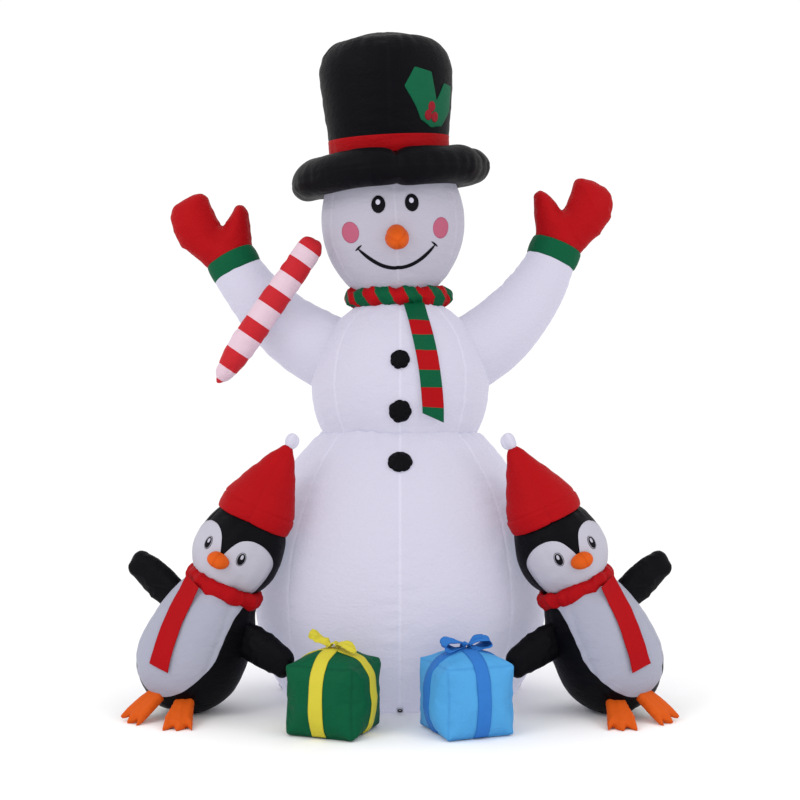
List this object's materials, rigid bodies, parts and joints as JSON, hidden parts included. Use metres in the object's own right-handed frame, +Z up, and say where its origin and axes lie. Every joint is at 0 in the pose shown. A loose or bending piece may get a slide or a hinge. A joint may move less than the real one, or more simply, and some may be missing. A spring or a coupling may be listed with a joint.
{
  "type": "inflatable yard snowman",
  "caption": "Standing blow-up snowman in a top hat with raised mittens, striped scarf and cane, with leaning penguins and gift boxes at its base.",
  "frame": {"origin": "on the ground, at the middle of the flat base, on the axis of the snowman's lower ball", "axes": "+Z up along the snowman's height, -Y to the front that its face looks to, +X to the viewer's right when facing it"},
  "size_m": [1.8588, 1.3367, 2.3284],
  "materials": {
    "white_cloth": "satin",
    "black_cloth": "satin",
    "red_cloth": "satin",
    "green_cloth": "satin",
    "leaf_cloth": "satin",
    "orange_cloth": "satin",
    "pink_cloth": "satin",
    "scarf_cloth": "satin",
    "cane_cloth": "satin",
    "blue_cloth": "satin",
    "ribbon_yellow": "satin",
    "ribbon_blue": "satin",
    "housing_plastic": "matte",
    "fan_plastic": "matte",
    "motor_metal": "satin",
    "cable_plastic": "gloss",
    "lamp_plastic": "gloss",
    "zip_nylon": "matte",
    "zip_metal": "satin",
    "eyelet_metal": "satin",
    "loop_webbing": "satin",
    "berry_cloth": "satin"
  },
  "bodies": {
    "root": {"lower_body": "white_cloth", "base_panel": "white_cloth", "torso": "white_cloth", "left_arm": "white_cloth", "right_arm": "white_cloth", "mitten_cuffs": "green_cloth", "left_mitten": "red_cloth", "right_mitten": "red_cloth", "head": "white_cloth", "hat_brim": "black_cloth", "hat_crown": "black_cloth", "hat_band": "red_cloth", "holly_leaves": "leaf_cloth", "holly_berries": "berry_cloth", "snowman_eyes": "black_cloth", "snowman_cheeks": "pink_cloth", "snowman_nose": "orange_cloth", "snowman_mouth": "black_cloth", "neck_scarf": "scarf_cloth", "buttons": "black_cloth", "candy_cane": "cane_cloth", "left_penguin_body": "black_cloth", "right_penguin_body": "black_cloth", "left_penguin_flippers": "black_cloth", "right_penguin_flippers": "black_cloth", "left_penguin_head": "black_cloth", "right_penguin_head": "black_cloth", "left_penguin_panels": "white_cloth", "right_penguin_panels": "white_cloth", "left_penguin_hat": "red_cloth", "right_penguin_hat": "red_cloth", "left_penguin_scarf": "red_cloth", "right_penguin_scarf": "red_cloth", "penguin_feet": "orange_cloth", "penguin_beaks": "orange_cloth", "penguin_eyes": "black_cloth", "penguin_pompoms": "white_cloth", "green_gift": "green_cloth", "blue_gift": "blue_cloth", "green_gift_ribbon": "ribbon_yellow", "blue_gift_ribbon": "ribbon_blue", "green_gift_bow": "ribbon_yellow", "blue_gift_bow": "ribbon_blue", "air_sleeves": "white_cloth", "blower_housing": "housing_plastic", "blower_collar": "white_cloth", "blower_grille": "housing_plastic", "blower_motor": "motor_metal", "cord_gland": "housing_plastic", "light_cable": "cable_plastic", "light_lamps": "lamp_plastic", "zip_tape": "zip_nylon", "stake_loops": "loop_webbing", "stake_eyelets": "eyelet_metal"},
    "fan": {"blower_fan": "fan_plastic"},
    "slider": {"zip_slider": "zip_metal"},
    "pull": {"zip_pull": "zip_metal"},
    "snowman_tail": {"scarf_tail": "scarf_cloth"},
    "left_tail": {"left_penguin_scarf_tail": "red_cloth"},
    "right_tail": {"right_penguin_scarf_tail": "red_cloth"}
  },
  "joints": [
    {"name": "fan_spin", "type": "hinge", "parent": "root", "child": "fan", "pos_m": [0, 0.49, 0.15], "axis": [0, 1, 0], "continuous": true},
    {"name": "zip_slide", "type": "hinge", "parent": "root", "child": "slider", "pos_m": [0, 0, 0.3], "axis": [0, 0, 1], "range_deg": [0, 54]},
    {"name": "zip_pull_swing", "type": "hinge", "parent": "slider", "child": "pull", "pos_m": [-0.16804, 0.51719, 0.3], "axis": [0.9511, 0.309, 0], "range_deg": [0, 150]},
    {"name": "scarf_tail_swing", "type": "hinge", "parent": "root", "child": "snowman_tail", "pos_m": [0.046, -0.19515, 1.388], "axis": [-1, 0, 0], "range_deg": [0, 70]},
    {"name": "left_tail_swing", "type": "hinge", "parent": "root", "child": "left_tail", "pos_m": [-0.67166, -0.50246, 0.44529], "axis": [-0.8482, 0.342, 0.4045], "range_deg": [0, 60]},
    {"name": "right_tail_swing", "type": "hinge", "parent": "root", "child": "right_tail", "pos_m": [0.67166, -0.50246, 0.44529], "axis": [-0.8482, -0.342, -0.4045], "range_deg": [0, 60]}
  ]
}
